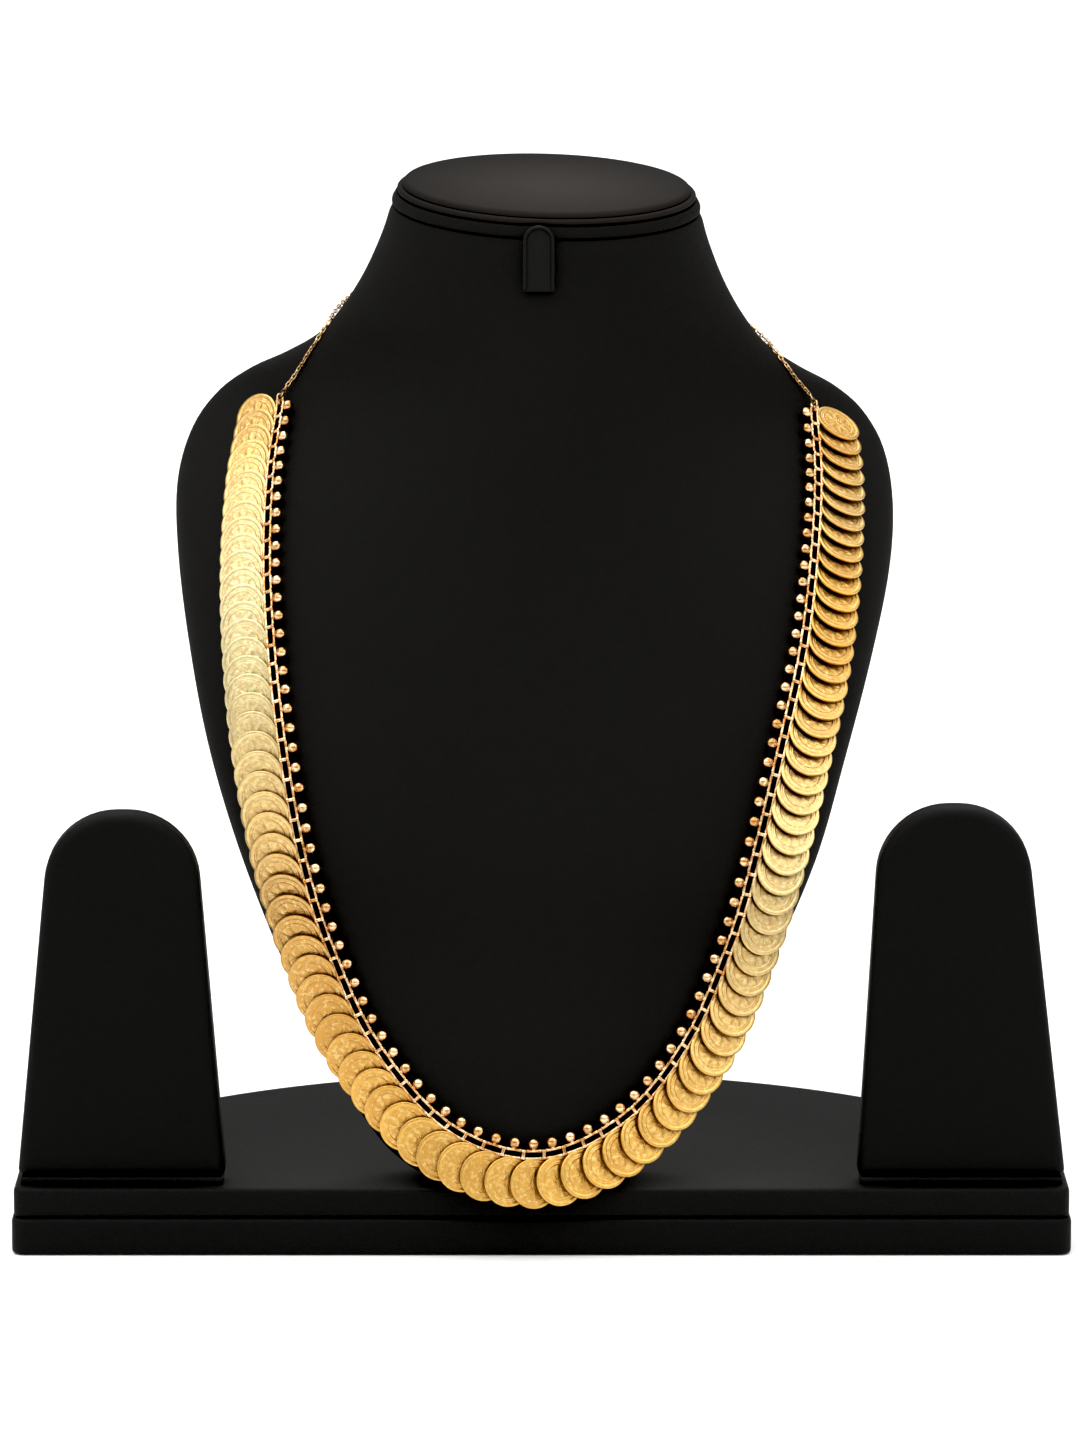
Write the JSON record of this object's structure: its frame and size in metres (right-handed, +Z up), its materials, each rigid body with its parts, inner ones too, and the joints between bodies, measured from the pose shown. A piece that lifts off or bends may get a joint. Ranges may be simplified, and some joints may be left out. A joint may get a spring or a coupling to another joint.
{
  "type": "long coin necklace on a neck bust",
  "caption": "Long necklace of overlapping round coins on a ladder of small links with a fine chain at the neck, worn by a covered neck bust on a board base with an ear-ring post at each side.",
  "frame": {"origin": "middle of the whole outline, on the underside of the base", "axes": "+X to the bust's left-hand side as the picture shows it on the right, +Y to the back, +Z up"},
  "size_m": [0.335, 0.1838, 0.3328],
  "materials": {
    "coin_gold": "satin gold plate, stippled fields",
    "fine_gold": "polished gold plate",
    "bust_cover": "matt black leatherette, fine grain",
    "disc_cover": "matt black leatherette, padded",
    "post_cover": "matt black leatherette, padded",
    "tab_cover": "matt black leatherette with rolled edges",
    "base_cover": "matt black leatherette over board"
  },
  "bodies": {
    "root": {"base_lower": "base_cover", "base_upper": "base_cover", "foot_left": "base_cover", "foot_right": "base_cover", "post_left": "post_cover", "post_right": "post_cover", "bust_body": "bust_cover", "collar": "bust_cover", "top_disc": "disc_cover", "hang_tab": "tab_cover", "ring_left": "fine_gold", "ring_right": "fine_gold", "chain_left": "fine_gold", "chain_right": "fine_gold", "clasp": "fine_gold", "coin_run_01": "coin_gold", "coin_run_02": "coin_gold", "coin_run_03": "coin_gold", "coin_run_04": "coin_gold", "coin_run_05": "coin_gold", "coin_run_06": "coin_gold", "coin_run_07": "coin_gold", "coin_run_08": "coin_gold", "coin_run_09": "coin_gold", "coin_run_10": "coin_gold", "coin_run_11": "coin_gold", "coin_run_12": "coin_gold", "coin_run_13": "coin_gold"}
  },
  "joints": []
}
